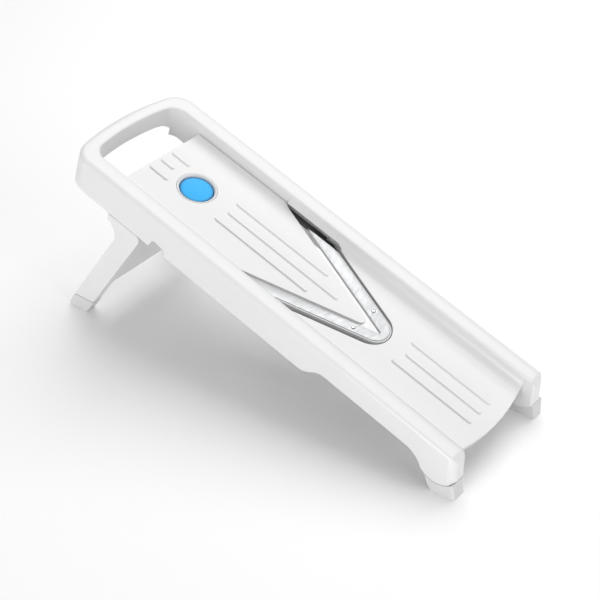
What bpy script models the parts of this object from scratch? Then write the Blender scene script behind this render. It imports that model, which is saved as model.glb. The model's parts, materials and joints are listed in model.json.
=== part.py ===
"""Mandoline slicer with a V blade, a sliding runway plate and a fold-out rear stand.

Most of the slicer is drawn in a frame that lies on its slope. There, a station is the
distance up the slope from the front feet, Y runs across the rails, and a height is measured
square to the deck. An empty then tilts that frame, so that the front feet and the stand meet
the floor at Z = 0. Near is the -Y side and far is the +Y side. Lengths are in metres.
"""

import math

import bmesh
import bpy
from mathutils import Vector

# Stance
TILT = math.radians(18.56)
DATUM_HEIGHT = 0.0241
FRONT_FROM_MIDDLE = 0.19907

# Frame: the two rails and the handle loop
HALF_WIDTH = 0.064
RAIL_WIDTH = 0.0155
INNER_HALF_WIDTH = HALF_WIDTH - RAIL_WIDTH
RAIL_TOP = 0.0124
RAIL_CROWN = 0.0009
RAIL_EDGE_RADIUS = 0.0042
OUTER_SKIN = 0.0024
INNER_SKIN = 0.0032
ROOF_UNDERSIDE = 0.0092
RAIL_FRONT = 0.0016
RAIL_FRONT_RADIUS = 0.012
HANDLE_END = 0.4047
HANDLE_BAR_WIDTH = 0.0122
HANDLE_OUTER_RADIUS = 0.018
HANDLE_INNER_RADIUS = 0.013
HANDLE_ARCH_TOP = -0.0068
HANDLE_ARCH_REACH = 0.0495
HANDLE_ARCH_FLAT = 0.0290
HANDLE_BOW = 0.0045
HANDLE_BOW_REACH = 0.046
RAIL_OUTER_CORNER = 0.0080
RAIL_INNER_CORNER = 0.0036
PAD_CORNER = 0.0040
SHALLOW_SKIRT = -0.0074
SKIRT_BOTTOM = -0.0182
SKIRT_AT_STAND = -0.0194
LEDGE_INNER = 0.042
LEDGE_TOP = -0.0033
LEDGE_BOTTOM = -0.0068

# Output deck and its opening
DECK_THICKNESS = 0.0030
COVE_RADIUS = 0.010
DECK_END = 0.0072
DECK_END_BULGE = 0.0045
DECK_UPPER_END = 0.2570
DECK_HALF_WIDTH = 0.050
OPENING_HALF_WIDTH = 0.0503
OPENING_UPPER_END = 0.2585
OPENING_ROOF = 0.0036

# V blade; its edges are parallel lines that would meet at a virtual apex on the centre line
V_HALF_ANGLE = math.radians(20.0)
BLADE_OUTER_APEX = 0.08423
BLADE_OUTER_RADIUS = 0.0148
BLADE_ARM_WIDTH = 0.0114
BLADE_EDGE_RADIUS = 0.0015
BLADE_END_HALF_WIDTH = 0.0405
BLADE_THICKNESS = 0.0010
BLADE_GRIND = 0.0018
CARRIER_RIM = 0.0012
CARRIER_TOP = 0.0010
TRAY_INSET = 0.0052
OPENING_CLEARANCE = 0.0032
TRAY_OVERLAP = 0.0080
TRAY_THICKNESS = 0.0036
OPENING_TIP_GAP = 0.0004
SKIRT_THICKNESS = 0.0016
SKIRT_DEPTH = 0.0058
CHANNEL_FLOOR = 0.0061
RIVET_STATION = 0.1378
RIVET_ACROSS = 0.01335

# Runway plate
RUNWAY_END = 0.3593
RUNWAY_HALF_WIDTH = 0.0480
RUNWAY_SHOULDER = 0.2580
RUNWAY_APEX = 0.1271
RUNWAY_TIP_RADIUS = 0.0046
RUNWAY_THICKNESS = 0.0030
RIDGE_PITCH = 0.0135
RIDGE_WIDTH = 0.0038
RIDGE_HEIGHT = 0.0012
RIDGE_FLANK = 0.0008

# Release button and the friction brake that it frees
BUTTON_STATION = 0.3160
BUTTON_RADIUS = 0.0143
BEZEL_RADIUS = 0.0169
CUP_SCREW_CIRCLE = 0.0225
STRIP_TOP = -0.0123
STRIP_THICKNESS = 0.0017

# Stand
PIVOT_STATION = 0.3210
PIVOT_HEIGHT = -0.0249
LEG_LEAN = math.radians(16.7)
LEG_FRONT = 0.0053
LEG_DEPTH = 0.0184
LEG_WIDTH = 0.0103
LEG_END_HEIGHT = 0.0140
PANEL_END = 0.0847
PIN_RADIUS = 0.0020

# Fasteners, placed as (station, across)
DECK_SCREWS = [(0.1180, 0.0203), (0.1180, -0.0203), (0.1700, 0.0391), (0.1700, -0.0391)]
CARRIER_SCREWS = [(0.1665, 0.0260), (0.1665, -0.0260)]
STRIP_SCREWS = [(0.2720, 0.0080), (0.2720, -0.0080), (0.3510, 0.0080), (0.3510, -0.0080)]
RIVETS = [(RIVET_STATION, RIVET_ACROSS), (RIVET_STATION, -RIVET_ACROSS)]
SCREW_SHANK = 0.0011
SCREW_HEAD = 0.0025
SCREW_HEAD_HEIGHT = 0.0014

FOOT_WIDTH = 0.0131
GAP = 0.0003
ROUND_STEPS = 24
SIDES = {"near": -1, "far": 1}


# ---------------------------------------------------------------- outlines

def arc(centre, radius, start_deg, end_deg, steps):
    """Points on an arc from one angle to another, both ends included."""
    points = []
    for i in range(steps + 1):
        angle = math.radians(start_deg + (end_deg - start_deg) * i / steps)
        points.append((centre[0] + radius * math.cos(angle), centre[1] + radius * math.sin(angle)))
    return points


def curve(start, control, end, steps):
    """Points on a parabola that leaves start towards control and arrives at end."""
    points = []
    for i in range(steps + 1):
        t = i / steps
        weights = ((1 - t) ** 2, 2 * t * (1 - t), t * t)
        points.append(tuple(sum(w * p[axis] for w, p in zip(weights, (start, control, end)))
                            for axis in (0, 1)))
    return points


def mirrored(half):
    """Close a (station, across) outline, given on the +Y side, with its mirror image."""
    return half + [(station, -across) for station, across in reversed(half) if across > 1e-7]


def stadium(low, high, across, width, steps=4):
    """Outline of a slot with round ends that runs up the slope."""
    radius = width / 2
    lower = arc((low + radius, across), radius, 270, 90, steps)
    upper = arc((high - radius, across), radius, 90, -90, steps)
    return lower + upper


def offset_apex(apex, outwards):
    """Virtual apex of a V line that lies further out than the one through apex."""
    return apex - outwards / math.sin(V_HALF_ANGLE)


def v_nose(apex, radius, steps=9):
    """Rounded tip of a V, from the centre line to where the +Y side's straight line starts."""
    centre = (apex + radius / math.sin(V_HALF_ANGLE), 0.0)
    return arc(centre, radius, 180, 90 + math.degrees(V_HALF_ANGLE), steps)


def v_station(apex, across):
    """Station at which a V line reaches a distance from the centre line."""
    return apex + across / math.tan(V_HALF_ANGLE)


def slope_point(distance_back, height):
    """Station and deck height of an upright point behind the front feet and above the floor."""
    rise = height - DATUM_HEIGHT
    station = distance_back * math.cos(TILT) + rise * math.sin(TILT)
    return station, -distance_back * math.sin(TILT) + rise * math.cos(TILT)


def leg_point(along, behind):
    """Station and height of a point along the leg and behind the stand's pivot."""
    station = PIVOT_STATION + along * math.sin(LEG_LEAN) + behind * math.cos(LEG_LEAN)
    height = PIVOT_HEIGHT - along * math.cos(LEG_LEAN) + behind * math.sin(LEG_LEAN)
    return station, height


def leg_line_back(behind, height):
    """Distance behind the front feet of a line along the leg, at a height above the floor."""
    lean = LEG_LEAN + TILT
    pivot_back = PIVOT_STATION * math.cos(TILT) - PIVOT_HEIGHT * math.sin(TILT)
    pivot_up = DATUM_HEIGHT + PIVOT_STATION * math.sin(TILT) + PIVOT_HEIGHT * math.cos(TILT)
    start_back = pivot_back + behind * math.cos(lean)
    start_up = pivot_up + behind * math.sin(lean)
    return start_back + (start_up - height) * math.tan(lean)


# ---------------------------------------------------------------- objects

def clear_scene():
    for thing in list(bpy.data.objects):
        bpy.data.objects.remove(thing, do_unlink=True)


def make_material(name, colour, roughness, metallic=0.0):
    material = bpy.data.materials.new(name)
    material.use_nodes = True
    shader = material.node_tree.nodes["Principled BSDF"]
    shader.inputs["Base Color"].default_value = (*colour, 1.0)
    shader.inputs["Roughness"].default_value = roughness
    shader.inputs["Metallic"].default_value = metallic
    return material


def make_empty(name, place, parent=None):
    """An empty at a place given in its parent's frame."""
    empty = bpy.data.objects.new(name, None)
    bpy.context.scene.collection.objects.link(empty)
    empty.location = place
    empty.parent = parent
    return empty


def place_of(parent):
    """Place of a joint's empty in the slope frame; the slope empty is that frame itself."""
    return parent.location if parent.parent else Vector()


def make_solid(name, rings, material, parent, joined_ends=False):
    """A closed solid made of equal rings of points given in the slope frame.

    Its first and last rings get a flat face each, unless joined_ends makes it a loop.
    """
    count = len(rings[0])
    shape = bmesh.new()
    rows = [[shape.verts.new(Vector(point) - place_of(parent)) for point in ring]
            for ring in rings]
    pairs = list(zip(rows, rows[1:]))
    if joined_ends:
        pairs.append((rows[-1], rows[0]))
    else:
        shape.faces.new(rows[0])
        shape.faces.new(rows[-1])
    for low, high in pairs:
        for i in range(count):
            j = (i + 1) % count
            shape.faces.new((low[i], low[j], high[j], high[i]))
    bmesh.ops.recalc_face_normals(shape, faces=shape.faces)
    mesh = bpy.data.meshes.new(name)
    shape.to_mesh(mesh)
    shape.free()
    mesh.shade_smooth()
    mesh.set_sharp_from_angle(angle=math.radians(32))
    if material is not None:
        mesh.materials.append(material)
    solid = bpy.data.objects.new(name, mesh)
    bpy.context.scene.collection.objects.link(solid)
    solid.parent = parent
    return solid


def side_prism(name, outline, low, high, material, parent):
    """A solid with a (station, height) outline, from one Y to another."""
    rings = [[(-s, y, z) for s, z in outline] for y in (low, high)]
    return make_solid(name, rings, material, parent)


def plan_prism(name, outline, low, high, material, parent):
    """A solid with a (station, across) outline, from one height to another."""
    rings = [[(-s, y, z) for s, y in outline] for z in (low, high)]
    return make_solid(name, rings, material, parent)


def cross_prism(name, outline, low, high, material, parent):
    """A solid with an (across, height) outline, from one station to another."""
    rings = [[(-s, y, z) for y, z in outline] for s in (low, high)]
    return make_solid(name, rings, material, parent)


def box(name, stations, across, heights, material, parent):
    """A plain block between two stations, two Ys and two heights."""
    outline = [(stations[0], across[0]), (stations[1], across[0]),
               (stations[1], across[1]), (stations[0], across[1])]
    return plan_prism(name, outline, *heights, material, parent)


def upright_turning(name, station, across, profile, material, parent, steps=ROUND_STEPS):
    """A turned solid that stands square to the deck; profile is (radius, height)."""
    rings = []
    for radius, height in profile:
        circle = arc((-station, across), radius, 0, 360, steps)[:-1]
        rings.append([(x, y, height) for x, y in circle])
    return make_solid(name, rings, material, parent)


def upright_ring(name, station, profile, material, parent, steps=ROUND_STEPS):
    """A turned ring round an axis on the centre line; profile is a closed (radius, height)."""
    rings = []
    for i in range(steps):
        angle = 2 * math.pi * i / steps
        rings.append([(-station + r * math.cos(angle), r * math.sin(angle), z) for r, z in profile])
    return make_solid(name, rings, material, parent, joined_ends=True)


def pivot_turning(name, radius, low, high, material, parent):
    """A cylinder on the stand's pivot axis, from one Y to another."""
    circle = arc((-PIVOT_STATION, PIVOT_HEIGHT), radius, 0, 360, 16)[:-1]
    rings = [[(x, y, z) for x, z in circle] for y in (low, high)]
    return make_solid(name, rings, material, parent)


def boolean(target, helper, operation):
    modifier = target.modifiers.new(helper.name, "BOOLEAN")
    modifier.operation = operation
    modifier.solver = "EXACT"
    modifier.object = helper
    helper.hide_render = True
    helper.display_type = "WIRE"


def cut(target, *helpers):
    for helper in helpers:
        boolean(target, helper, "DIFFERENCE")


def weld_on(target, *helpers):
    for helper in helpers:
        boolean(target, helper, "UNION")


def make_cutter_group(name, members):
    """Join the meshes of several cutters, all in one frame, into one object."""
    keeper = members[0]
    shape = bmesh.new()
    for member in members:
        shape.from_mesh(member.data)
    shape.to_mesh(keeper.data)
    shape.free()
    for member in members[1:]:
        bpy.data.objects.remove(member, do_unlink=True)
    keeper.name = name
    keeper.data.name = name
    return keeper


# ---------------------------------------------------------------- frame

def rim_profile(width):
    """Cross-section of a rail, an open-bottomed channel: (inset from outside, height)."""
    below = SKIRT_AT_STAND - 0.006
    outer_centre = (RAIL_EDGE_RADIUS, RAIL_TOP + RAIL_CROWN * 0.5 - RAIL_EDGE_RADIUS)
    outer_edge = arc(outer_centre, RAIL_EDGE_RADIUS, 180, 96, 4)
    inner_edge = arc((width - 0.0016, RAIL_TOP - 0.0016), 0.0016, 84, 0, 2)
    crown = [(width * 0.5, RAIL_TOP + RAIL_CROWN), (width * 0.74, RAIL_TOP + RAIL_CROWN * 0.6)]
    cavity = [(width - INNER_SKIN, below), (width - INNER_SKIN, ROOF_UNDERSIDE),
              (OUTER_SKIN, ROOF_UNDERSIDE), (OUTER_SKIN, below)]
    return [(0.0, below)] + outer_edge + crown + inner_edge + [(width, below)] + cavity


def handle_half(end, half_width, radius):
    """+Y half of one line of the handle: a corner and then a bar that bows outwards."""
    corner_steps = 8
    bar_steps = 5
    slope_angle = math.atan(2 * HANDLE_BOW * half_width / HANDLE_BOW_REACH ** 2) * 0.8
    meeting = half_width - radius * (1 - math.sin(slope_angle))
    station = end - HANDLE_BOW * (meeting / HANDLE_BOW_REACH) ** 2
    centre = (station - radius * math.cos(slope_angle), half_width - radius)
    points = arc(centre, radius, 90, math.degrees(slope_angle), corner_steps)
    for i in range(1, bar_steps):
        across = meeting * (1 - i / bar_steps)
        points.append((end - HANDLE_BOW * (across / HANDLE_BOW_REACH) ** 2, across))
    return points


def rim_path():
    """Pairs of (outer, inner) points up the far rail, round the handle and down the near one."""
    start = -0.014
    outer = handle_half(HANDLE_END, HALF_WIDTH, HANDLE_OUTER_RADIUS)
    inner = handle_half(HANDLE_END - HANDLE_BAR_WIDTH, INNER_HALF_WIDTH, HANDLE_INNER_RADIUS)
    pairs = [((start, HALF_WIDTH), (start, INNER_HALF_WIDTH))] + list(zip(outer, inner))
    middle = [((HANDLE_END, 0.0), (HANDLE_END - HANDLE_BAR_WIDTH, 0.0))]
    near = [((so, -yo), (si, -yi)) for (so, yo), (si, yi) in reversed(pairs)]
    return pairs + middle + near


def make_rim(material, slope):
    rings = []
    for outer, inner in rim_path():
        across = Vector(inner) - Vector(outer)
        width = across.length
        ring = []
        for inset, height in rim_profile(width):
            spot = Vector(outer) + across * (inset / width)
            ring.append((-spot.x, spot.y, height))
        rings.append(ring)
    return make_solid("body_frame", rings, material, slope)


def pad_joint_line():
    """Joint between a front foot's soft pad and the rail end: (distance back, height)."""
    return curve((0.0019, 0.0146), (0.0150, 0.0040), (0.0270, 0.0124), 6)


def frame_side_outline():
    """Side view of the frame: its bottom line, the handle's end and the rounded front."""
    base = [slope_point(back, height + GAP) for back, height in pad_joint_line()]
    heel = curve((0.0268, -0.0170), (0.0330, -0.0088), (0.0430, SHALLOW_SKIRT), 4)
    step = curve((0.1240, -0.0070), (0.1300, -0.0070), (0.1340, -0.0108), 3)
    step += curve((0.1385, -0.0148), (0.1425, SKIRT_BOTTOM), (0.1480, SKIRT_BOTTOM), 3)
    notch = [(0.2895, SKIRT_BOTTOM), (0.2902, -0.0138)]
    notch += curve((0.2925, -0.0121), (0.2960, -0.0112), (0.3015, -0.0109), 2)
    notch += [(0.3042, -0.0126), (0.3063, SKIRT_AT_STAND)]
    ceiling = RAIL_TOP + RAIL_CROWN + 0.0002
    end = HANDLE_END + 0.004
    handle = [(0.3720, SKIRT_AT_STAND), (0.3860, -0.0186), (end, -0.0176), (end, ceiling)]
    centre_height = ceiling - RAIL_FRONT_RADIUS
    centre_back = RAIL_FRONT + RAIL_FRONT_RADIUS
    centre_station = (centre_back + centre_height * math.sin(TILT)) / math.cos(TILT)
    front_angle = 180 - math.degrees(TILT)
    front = arc((centre_station, centre_height), RAIL_FRONT_RADIUS, 90, front_angle, 6)
    return base + heel + step + notch + handle + front


def cove_height(across, edge, radius):
    """Height of a flat surface that curves up, with a radius, towards a wall at edge."""
    run = abs(across) - (edge - radius)
    if run <= 0:
        return 0.0
    return radius - math.sqrt(max(radius ** 2 - min(run, radius) ** 2, 0.0))


def make_deck(slope):
    """Output deck with its coves: one ring of four points for each place across."""
    places = [0.0, 0.013, 0.026, 0.0385, 0.0415, 0.0440, 0.0462, 0.0478, 0.0485, DECK_HALF_WIDTH]
    places = [-y for y in reversed(places[1:])] + places
    rings = []
    for y in places:
        low = DECK_END + DECK_END_BULGE * (y / 0.040) ** 2
        top = cove_height(y, INNER_HALF_WIDTH, COVE_RADIUS)
        rings.append([(-low, y, -DECK_THICKNESS), (-DECK_UPPER_END, y, -DECK_THICKNESS),
                      (-DECK_UPPER_END, y, top), (-low, y, top)])
    return make_solid("deck", rings, None, slope)


def ridge(name, low, high, across, slope):
    """A low rib with sloping flanks and round ends."""
    rings = []
    for height, inset in ((-0.0015, 0.0), (-0.0001, 0.0), (RIDGE_HEIGHT, RIDGE_FLANK)):
        outline = stadium(low + inset, high - inset, across, RIDGE_WIDTH - 2 * inset)
        rings.append([(-station, y, height) for station, y in outline])
    return make_solid(name, rings, None, slope)


def opening_radius():
    """Tip radius at which the V opening nearly touches the blade carrier's tip."""
    sine = math.sin(V_HALF_ANGLE)
    return BLADE_OUTER_RADIUS + (OPENING_CLEARANCE - OPENING_TIP_GAP * sine) / (1 - sine)


def make_opening_cutter(slope):
    """The V opening in the deck, which also bites a little into both rails."""
    apex = offset_apex(BLADE_OUTER_APEX, OPENING_CLEARANCE)
    half = v_nose(apex, opening_radius())
    half += [(v_station(apex, OPENING_HALF_WIDTH), OPENING_HALF_WIDTH),
             (OPENING_UPPER_END, OPENING_HALF_WIDTH)]
    half += [(OPENING_UPPER_END, 0.0)]
    return plan_prism("opening_cutter", mirrored(half), -0.0071, OPENING_ROOF, None, slope)


def make_front_cutter(name, front_back, inner_radius, outer_radius, slope):
    """An upright prism whose front corners round the rails' ends as seen from above."""
    clear = 0.0001
    inner_back = front_back + inner_radius
    outer_back = front_back + outer_radius
    outline = [(inner_back, 0.0)]
    outline += arc((inner_back, INNER_HALF_WIDTH - clear + inner_radius), inner_radius,
                   270, 180, 5)
    outline += arc((outer_back, HALF_WIDTH + clear - outer_radius), outer_radius, 180, 90, 8)
    outline += [(0.45, HALF_WIDTH + clear)]
    rings = []
    for height in (-0.02, 0.25):
        ring = []
        for distance_back, across in mirrored(outline):
            station, rise = slope_point(distance_back, height)
            ring.append((-station, across, rise))
        rings.append(ring)
    return make_solid(name, rings, None, slope)


def make_arch_cutter(slope):
    """The hollow under the handle bar that the fingers close round."""
    reach = HANDLE_ARCH_REACH
    flat = HANDLE_ARCH_FLAT
    drop = HANDLE_ARCH_TOP - SKIRT_AT_STAND
    corner = [(flat + (reach - flat) * y, SKIRT_AT_STAND + drop * z)
              for y, z in arc((0.0, 0.0), 1.0, 0, 90, 10)]
    below_skirt = -0.040
    outline = [(reach, below_skirt)] + corner
    outline += [(-y, z) for y, z in reversed(outline)]
    return cross_prism("arch_cutter", outline, 0.3862, HANDLE_END + 0.010, None, slope)


def make_frame(material, slope):
    frame = make_rim(material, slope)
    for side, sign in SIDES.items():
        across = sorted((sign * 0.0500, sign * 0.0630))
        weld_on(frame, box("foot_boss_" + side, (-0.010, 0.030), across, (-0.024, 0.0100),
                           None, slope))
    boolean(frame, side_prism("side_view", frame_side_outline(), -0.070, 0.070, None, slope),
            "INTERSECT")
    boolean(frame, make_front_cutter("front_corners", RAIL_FRONT - 0.0002, RAIL_INNER_CORNER,
                                     RAIL_OUTER_CORNER, slope), "INTERSECT")
    cut(frame, make_arch_cutter(slope))
    weld_on(frame, make_deck(slope))
    for side, sign in SIDES.items():
        across = sorted((sign * LEDGE_INNER, sign * 0.0501))
        weld_on(frame, box("ledge_" + side, (0.2575, 0.3570), across, (LEDGE_BOTTOM, LEDGE_TOP),
                           None, slope))
        lug = [(PIVOT_STATION - 0.0050, -0.0060)]
        lug += arc((PIVOT_STATION, PIVOT_HEIGHT), 0.0050, 180, 360, 8)
        lug += [(PIVOT_STATION + 0.0050, -0.0060)]
        across = sorted((sign * 0.0490, sign * 0.0532))
        weld_on(frame, side_prism("lug_" + side, lug, *across, None, slope))
    weld_on(frame, box("upper_rib", (0.3451, 0.3569), (-0.0502, 0.0502), (-0.0120, -0.0084),
                       None, slope))
    weld_on(frame, box("lower_rib", (0.2680, 0.2760), (-0.0502, 0.0502), (-0.0120, -0.0066),
                       None, slope))
    cut(frame, make_opening_cutter(slope))
    for i, across in enumerate((-RIDGE_PITCH, 0.0, RIDGE_PITCH)):
        inset = 0.004 if across == 0.0 else 0.0
        weld_on(frame, ridge("deck_ridge_%d" % i, 0.0205, 0.0986 - inset, across, slope))
    for side, sign in SIDES.items():
        across = sorted((sign * 0.0450, sign * 0.0570))
        cut(frame, pivot_turning("lug_bore_" + side, PIN_RADIUS + GAP, *across, None, slope))
    cut(frame, make_screw_holes("deck_holes", DECK_SCREWS, -0.0032, -0.0008, slope))
    cut(frame, make_screw_holes("rib_holes", STRIP_SCREWS, -0.0125, -0.0092, slope))
    return frame


# ---------------------------------------------------------------- fasteners

def cup_screw_places():
    """Places of the three screws round the button: one down the slope, two up it."""
    places = []
    for angle in (60, 180, 300):
        turn = math.radians(angle)
        places.append((BUTTON_STATION + CUP_SCREW_CIRCLE * math.cos(turn),
                       CUP_SCREW_CIRCLE * math.sin(turn)))
    return places


def make_screw_holes(name, places, low, high, slope):
    """Cutters for the screw holes, one mesh of separate cylinders."""
    radius = SCREW_SHANK + GAP
    holes = [upright_turning(name, s, y, [(radius, low), (radius, high)], None, slope, 10)
             for s, y in places]
    return make_cutter_group(name, holes)


def make_screw(name, place, seat, tip, material, parent):
    """A round-headed screw whose head hangs under a seat height and whose tip points up."""
    head_top = seat - GAP
    profile = [(SCREW_HEAD * 0.7, head_top - SCREW_HEAD_HEIGHT),
               (SCREW_HEAD, head_top - SCREW_HEAD_HEIGHT * 0.5), (SCREW_HEAD, head_top),
               (SCREW_SHANK, head_top), (SCREW_SHANK, tip)]
    return upright_turning(name, *place, profile, material, parent, 10)


def make_screws(name, places, seat, tip, material, parent):
    for number, place in enumerate(places, start=1):
        make_screw("%s_%d" % (name, number), place, seat, tip, material, parent)


# ---------------------------------------------------------------- blade unit

def blade_half(outer_apex, outer_radius, inner_apex, inner_radius, end_half_width,
               inner_steps=3):
    """+Y half of a V-shaped strip, from its outer tip round to its inner one."""
    outer = v_nose(outer_apex, outer_radius)
    inner = v_nose(inner_apex, inner_radius, inner_steps)
    ends = [(v_station(outer_apex, end_half_width), end_half_width),
            (v_station(inner_apex, end_half_width), end_half_width)]
    return outer + ends + inner[::-1]


def make_blade(material, slope):
    """Steel V plate whose inner edges are ground thin on the upper side."""
    setback = CARRIER_RIM + GAP
    outer_apex = offset_apex(BLADE_OUTER_APEX, -setback)
    edge_apex = offset_apex(BLADE_OUTER_APEX, -BLADE_ARM_WIDTH)
    top_apex = offset_apex(edge_apex, BLADE_GRIND)
    rings = []
    for height, apex in ((GAP, edge_apex), (GAP + 0.0002, edge_apex),
                         (GAP + BLADE_THICKNESS, top_apex)):
        half = blade_half(outer_apex, BLADE_OUTER_RADIUS - setback, apex, BLADE_EDGE_RADIUS,
                          BLADE_END_HALF_WIDTH)
        rings.append([(-s, y, height) for s, y in mirrored(half)])
    blade = make_solid("v_blade", rings, material, slope)
    cut(blade, make_screw_holes("blade_rivet_holes", RIVETS, -0.001, 0.003, slope))
    return blade


def make_carrier(material, slope):
    """Plastic V with a raised rim round the riveted blade plate and a skirt under the rim."""
    inner_apex = offset_apex(BLADE_OUTER_APEX, 0.0008 - BLADE_ARM_WIDTH)
    half = blade_half(BLADE_OUTER_APEX, BLADE_OUTER_RADIUS, inner_apex, BLADE_EDGE_RADIUS,
                      BLADE_END_HALF_WIDTH)
    carrier = plan_prism("blade_carrier", mirrored(half), -SKIRT_DEPTH, CARRIER_TOP, material,
                         slope)
    hollow = blade_half(offset_apex(BLADE_OUTER_APEX, -SKIRT_THICKNESS),
                        BLADE_OUTER_RADIUS - SKIRT_THICKNESS,
                        offset_apex(BLADE_OUTER_APEX, -BLADE_ARM_WIDTH - 0.002),
                        BLADE_EDGE_RADIUS, BLADE_END_HALF_WIDTH + 0.004)
    cut(carrier, plan_prism("under_hollow", mirrored(hollow), -0.008, -DECK_THICKNESS, None,
                            slope))
    pocket = blade_half(offset_apex(BLADE_OUTER_APEX, -CARRIER_RIM),
                        BLADE_OUTER_RADIUS - CARRIER_RIM,
                        offset_apex(BLADE_OUTER_APEX, -BLADE_ARM_WIDTH - 0.002),
                        BLADE_EDGE_RADIUS, BLADE_END_HALF_WIDTH + 0.004)
    cut(carrier, plan_prism("blade_pocket", mirrored(pocket), 0.0, 0.003, None, slope))
    cut(carrier, make_screw_holes("carrier_rivet_holes", RIVETS, -0.004, 0.001, slope))
    cut(carrier, make_screw_holes("carrier_screw_holes", CARRIER_SCREWS, -0.004, -0.0008, slope))
    return carrier


def make_rivets(material, slope):
    head = GAP + BLADE_THICKNESS + GAP
    profile = [(0.0011, -0.0028), (0.0011, head), (0.0017, head), (0.0015, head + 0.0003),
               (0.0008, head + 0.0005)]
    for number, (station, across) in enumerate(RIVETS, start=1):
        upright_turning("blade_rivet_%d" % number, station, across, profile, material, slope, 12)


def make_tray(material, slope):
    """Dark tray under the deck, with a channel under the slits for the carrier's skirt."""
    top = -DECK_THICKNESS - GAP
    opening_apex = offset_apex(BLADE_OUTER_APEX, OPENING_CLEARANCE)
    outer_apex = offset_apex(opening_apex, TRAY_OVERLAP)
    outer_radius = BLADE_OUTER_RADIUS + OPENING_CLEARANCE + TRAY_OVERLAP
    inner_apex = offset_apex(BLADE_OUTER_APEX, TRAY_INSET - BLADE_ARM_WIDTH)
    between_rails = 0.0479
    in_pocket = 0.0499
    pocket_start = v_station(opening_apex, OPENING_HALF_WIDTH) + 0.0010
    end = OPENING_UPPER_END - 0.0006
    inner_half_width = 0.0460
    half = v_nose(outer_apex, outer_radius)
    half += [(v_station(outer_apex, between_rails), between_rails),
             (pocket_start, between_rails), (pocket_start, in_pocket), (end, in_pocket),
             (end, inner_half_width), (v_station(inner_apex, inner_half_width), inner_half_width)]
    half += v_nose(inner_apex, BLADE_EDGE_RADIUS, 3)[::-1]
    tray = plan_prism("blade_tray", mirrored(half), top - TRAY_THICKNESS, top, material, slope)
    skirt_room = SKIRT_THICKNESS + 0.0004
    channel = blade_half(offset_apex(opening_apex, 0.0008), opening_radius() + 0.0008,
                         offset_apex(BLADE_OUTER_APEX, -skirt_room),
                         BLADE_OUTER_RADIUS - skirt_room, 0.0440, 9)
    cut(tray, plan_prism("skirt_channel", mirrored(channel), -CHANNEL_FLOOR, -0.002, None,
                         slope))
    cut(tray, make_screw_holes("tray_holes", DECK_SCREWS + CARRIER_SCREWS, -0.0080, -0.0020,
                               slope))
    return tray


# ---------------------------------------------------------------- runway and button

def tail_station(across):
    """Lower end of the runway plate at a place across: a V with a rounded tip."""
    across = abs(across)
    if across > RUNWAY_TIP_RADIUS * math.cos(V_HALF_ANGLE):
        return min(v_station(RUNWAY_APEX, across), RUNWAY_SHOULDER)
    centre = RUNWAY_APEX + RUNWAY_TIP_RADIUS / math.sin(V_HALF_ANGLE)
    return centre - math.sqrt(RUNWAY_TIP_RADIUS ** 2 - across ** 2)


def make_runway(material, runway):
    places = [0.0, 0.0015, 0.0028, 0.0038, 0.00432, 0.020, 0.034, 0.0445, 0.0460, 0.0471,
              0.04764, RUNWAY_HALF_WIDTH]
    places = [-y for y in reversed(places[1:])] + places
    rings = []
    for y in places:
        low = tail_station(y)
        top = cove_height(y, 0.0485, 0.0040)
        rings.append([(-low, y, -RUNWAY_THICKNESS), (-RUNWAY_END, y, -RUNWAY_THICKNESS),
                      (-RUNWAY_END, y, top), (-low, y, top)])
    plate = make_solid("runway_plate", rings, material, runway)
    for side, sign in SIDES.items():
        across = sorted((sign * 0.0080, sign * 0.0096))
        weld_on(plate, box("runway_rib_" + side, (0.1640, 0.2600), across, (-0.0060, -0.0020),
                           None, runway))
    for i, across in enumerate((-RIDGE_PITCH, 0.0, RIDGE_PITCH)):
        middle = across == 0.0
        low_end = 0.1640 if middle else 0.1850
        start = 0.2816 if middle else 0.2840
        weld_on(plate, ridge("long_ridge_%d" % i, low_end, start, across, runway))
        low_end = 0.3420 if middle else 0.3364
        weld_on(plate, ridge("short_ridge_%d" % i, low_end, 0.3566, across, runway))
    for i, (s, y) in enumerate(cup_screw_places()):
        boss = [(0.0028, -0.0045), (0.0028, -0.0020)]
        weld_on(plate, upright_turning("boss_%d" % i, s, y, boss, None, runway, 12))
    hole = [(BEZEL_RADIUS + GAP, -0.006), (BEZEL_RADIUS + GAP, 0.002)]
    cut(plate, upright_turning("bezel_hole", BUTTON_STATION, 0.0, hole, None, runway, 32))
    cut(plate, make_screw_holes("boss_holes", cup_screw_places(), -0.0050, -0.0010, runway))
    return plate


def make_bezel(material, runway):
    """Ring round the button, whose sloping inner face leads down to it."""
    bore = BUTTON_RADIUS + 0.0005
    flange = 0.0192
    profile = [(BEZEL_RADIUS, 0.0), (BEZEL_RADIUS - 0.0008, 0.0002), (bore + 0.0004, -0.0009),
               (bore, -0.0014), (bore, -0.0045), (flange, -0.0045),
               (flange, -RUNWAY_THICKNESS - GAP), (BEZEL_RADIUS, -RUNWAY_THICKNESS - GAP)]
    return upright_ring("button_bezel", BUTTON_STATION, profile, material, runway, 32)


def make_button(material, button):
    """Push button: a shallow domed cap on a stem that passes through the spring."""
    rim = -0.0018
    profile = [(0.0028, -0.0140), (0.0028, -0.0055), (BUTTON_RADIUS - 0.0008, -0.0055),
               (BUTTON_RADIUS, -0.0048), (BUTTON_RADIUS, rim - 0.0006),
               (BUTTON_RADIUS - 0.0007, rim), (0.0095, rim + 0.0006), (0.0045, rim + 0.0009)]
    made = upright_turning("release_button", BUTTON_STATION, 0.0, profile, material, button, 32)
    bore = [(0.0014, -0.0150), (0.0014, -0.0080)]
    cut(made, upright_turning("stem_bore", BUTTON_STATION, 0.0, bore, None, button, 10))
    return made


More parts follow.
